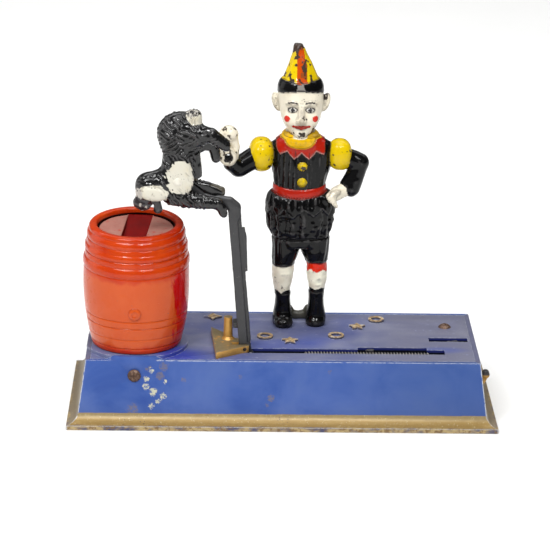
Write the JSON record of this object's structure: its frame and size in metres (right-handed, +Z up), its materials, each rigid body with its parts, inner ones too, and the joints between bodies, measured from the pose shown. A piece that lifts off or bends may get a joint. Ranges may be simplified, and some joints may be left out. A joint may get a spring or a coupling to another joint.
{
  "type": "mechanical bank",
  "caption": "Cast iron mechanical bank: a spring arm throws a jumping dog from the base past a clown to drop its coin into a barrel.",
  "frame": {"origin": "middle of the base's outline, on the surface that the bank stands on", "axes": "+X to the right of the front, +Y to the back, +Z up"},
  "size_m": [0.222, 0.0954, 0.188],
  "materials": {
    "top_blue": "faded blue oil paint with a greyish violet cast, worn",
    "side_blue": "faded blue oil paint over a gold moulding, chipped at the edges",
    "side_blue_rear": "faded blue oil paint over a gold moulding",
    "end_taupe": "aged bronze gold paint",
    "end_taupe_right": "aged bronze gold paint",
    "bottom_iron": "dark japanned iron",
    "door_steel": "dull sheet steel",
    "rusty_steel": "rusty steel",
    "screw_steel": "rusty brown steel",
    "barrel_red": "glossy orange red enamel, scuffed",
    "barrel_head_red": "faded pinkish red paint",
    "barrel_rivet_red": "worn red over steel",
    "bracket_gold": "gold bronze paint, worn to brown",
    "pin_steel": "dull steel",
    "arm_black": "dull black japan",
    "dog_black": "glossy black with white patches",
    "dog_black_far": "glossy black with white patches",
    "dog_rivet_white": "chipped white",
    "spring_steel": "dull spring wire",
    "lever_olive": "olive gold paint, worn black at the thumb end",
    "clown_paint": "hand painted enamel: black suit, red, yellow and white",
    "clown_paint_back": "hand painted enamel: black suit, red, yellow and white",
    "clown_arm_paint": "hand painted enamel: black sleeve, white glove",
    "bridge_black": "dull black with a green cast"
  },
  "bodies": {
    "base": {"top_plate": "top_blue", "front_plate": "side_blue", "rear_plate": "side_blue_rear", "left_end_plate": "end_taupe", "right_end_plate": "end_taupe_right", "bottom_plate": "bottom_iron", "coin_door_rivet": "rusty_steel", "front_screw": "screw_steel", "rear_screw": "screw_steel", "long_screw": "screw_steel", "long_screw_nut": "rusty_steel", "barrel_front": "barrel_red", "barrel_rear": "barrel_red", "barrel_head": "barrel_head_red", "barrel_tie_rivet": "barrel_rivet_red", "barrel_screw_left": "rusty_steel", "barrel_screw_right": "rusty_steel", "stop_bracket": "bracket_gold", "stop_bracket_screw": "rusty_steel", "arm_pivot_pin": "pin_steel", "main_spring": "spring_steel", "spring_anchor_pin": "pin_steel", "lever_pivot_pin": "pin_steel", "lever_return_spring": "spring_steel", "clown_front": "clown_paint", "clown_back": "clown_paint_back", "clown_right_arm": "clown_arm_paint", "clown_upper_rivet": "pin_steel", "clown_lower_rivet": "pin_steel", "clown_foot_screw_left": "rusty_steel", "clown_foot_screw_right": "rusty_steel", "foot_bridge": "bridge_black"},
    "dog": {"dog_arm": "arm_black", "dog_near_half": "dog_black", "dog_far_half": "dog_black_far", "dog_rivet": "dog_rivet_white"},
    "lever": {"release_lever": "lever_olive"},
    "door": {"coin_door": "door_steel"}
  },
  "joints": [
    {"name": "dog_arm_swing", "type": "hinge", "parent": "base", "child": "dog", "pos_m": [-0.0198, -0.0213, 0.0368], "axis": [0, 1, 0], "range_deg": [0, 94.8], "stiffness_Nm_per_rad": 0.08, "springref_deg": -34.38, "deforming": ["main_spring"]},
    {"name": "release_lever_press", "type": "hinge", "parent": "base", "child": "lever", "pos_m": [0.058, -0.003, 0.012], "axis": [0, 1, 0], "range_deg": [0, 3.6], "stiffness_Nm_per_rad": 0.2, "springref_deg": -5.73, "deforming": ["lever_return_spring"]},
    {"name": "coin_door_swivel", "type": "hinge", "parent": "base", "child": "door", "pos_m": [-0.009, 0.01, 0.0034], "axis": [0, 0, 1], "range_deg": [0, 85]}
  ]
}
